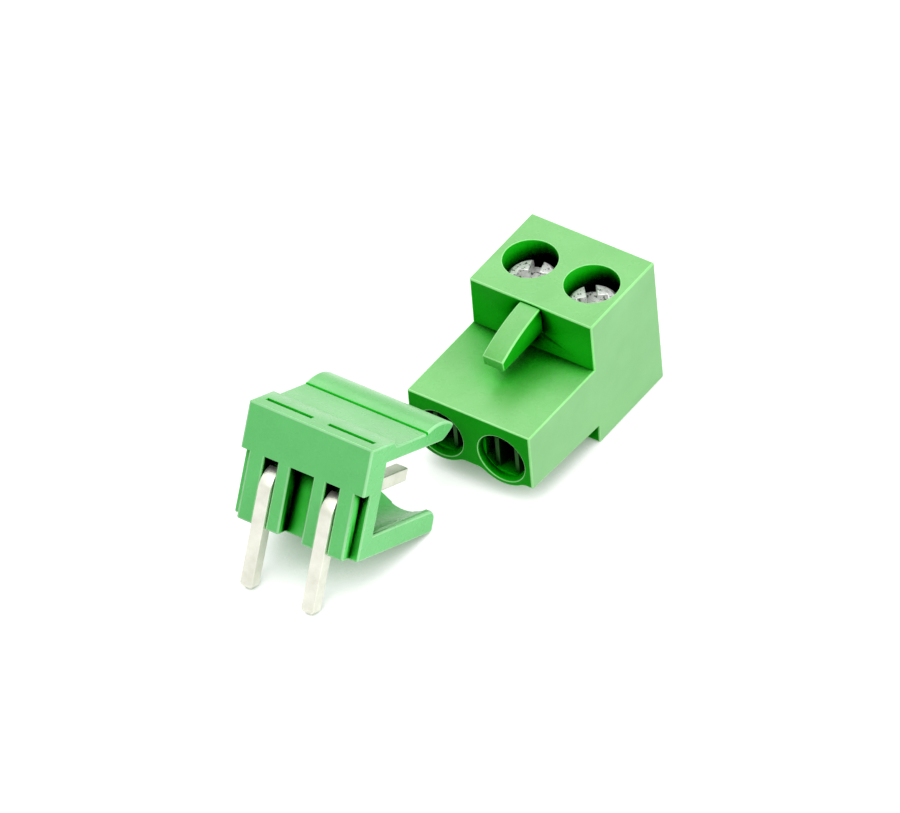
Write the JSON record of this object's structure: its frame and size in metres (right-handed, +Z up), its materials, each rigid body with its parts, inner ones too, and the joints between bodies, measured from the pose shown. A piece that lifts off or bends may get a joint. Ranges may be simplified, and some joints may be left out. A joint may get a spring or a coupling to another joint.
{
  "type": "pluggable terminal block",
  "caption": "Green pluggable terminal block: a screw-clamp plug standing beside the open-ended right-angle pin header it mates with",
  "frame": {"origin": "middle of the plug's foot, on the surface that both halves lie on", "axes": "+X along the row of poles, +Y from the plug's nose to its wire entries, +Z up"},
  "size_m": [0.0151, 0.0324, 0.0121],
  "materials": {
    "plug_plastic": "satin moulded",
    "header_plastic": "satin moulded",
    "screw_steel": "bright plated",
    "cage_metal": "nickel plated",
    "contact_metal": "tinned",
    "pin_metal": "matt tinned"
  },
  "bodies": {
    "plug": {"plug_housing": "plug_plastic", "left_contact": "contact_metal", "right_contact": "contact_metal", "header_housing": "header_plastic", "left_header_pin": "pin_metal", "right_header_pin": "pin_metal"},
    "screw_left": {"left_terminal_screw": "screw_steel"},
    "screw_right": {"right_terminal_screw": "screw_steel"},
    "cage_left": {"left_clamp_cage": "cage_metal"},
    "cage_right": {"right_clamp_cage": "cage_metal"}
  },
  "joints": [
    {"name": "left_screw_turn", "type": "hinge", "parent": "plug", "child": "screw_left", "pos_m": [-0.00254, -0.00014, 0.008], "axis": [0, 0, 1], "range_deg": [-1320, 0]},
    {"name": "right_screw_turn", "type": "hinge", "parent": "plug", "child": "screw_right", "pos_m": [0.00254, -0.00014, 0.008], "axis": [0, 0, 1], "range_deg": [-1320, 0]},
    {"name": "left_cage_lift", "type": "slide", "parent": "plug", "child": "cage_left", "axis": [0, 0, 1], "range_m": [0, 0.00165]},
    {"name": "right_cage_lift", "type": "slide", "parent": "plug", "child": "cage_right", "axis": [0, 0, 1], "range_m": [0, 0.00165]}
  ],
  "couplings": [
    {"joint": "left_screw_turn", "follows": "left_cage_lift", "rad_per_m": -13963},
    {"joint": "right_screw_turn", "follows": "right_cage_lift", "rad_per_m": -13963}
  ]
}
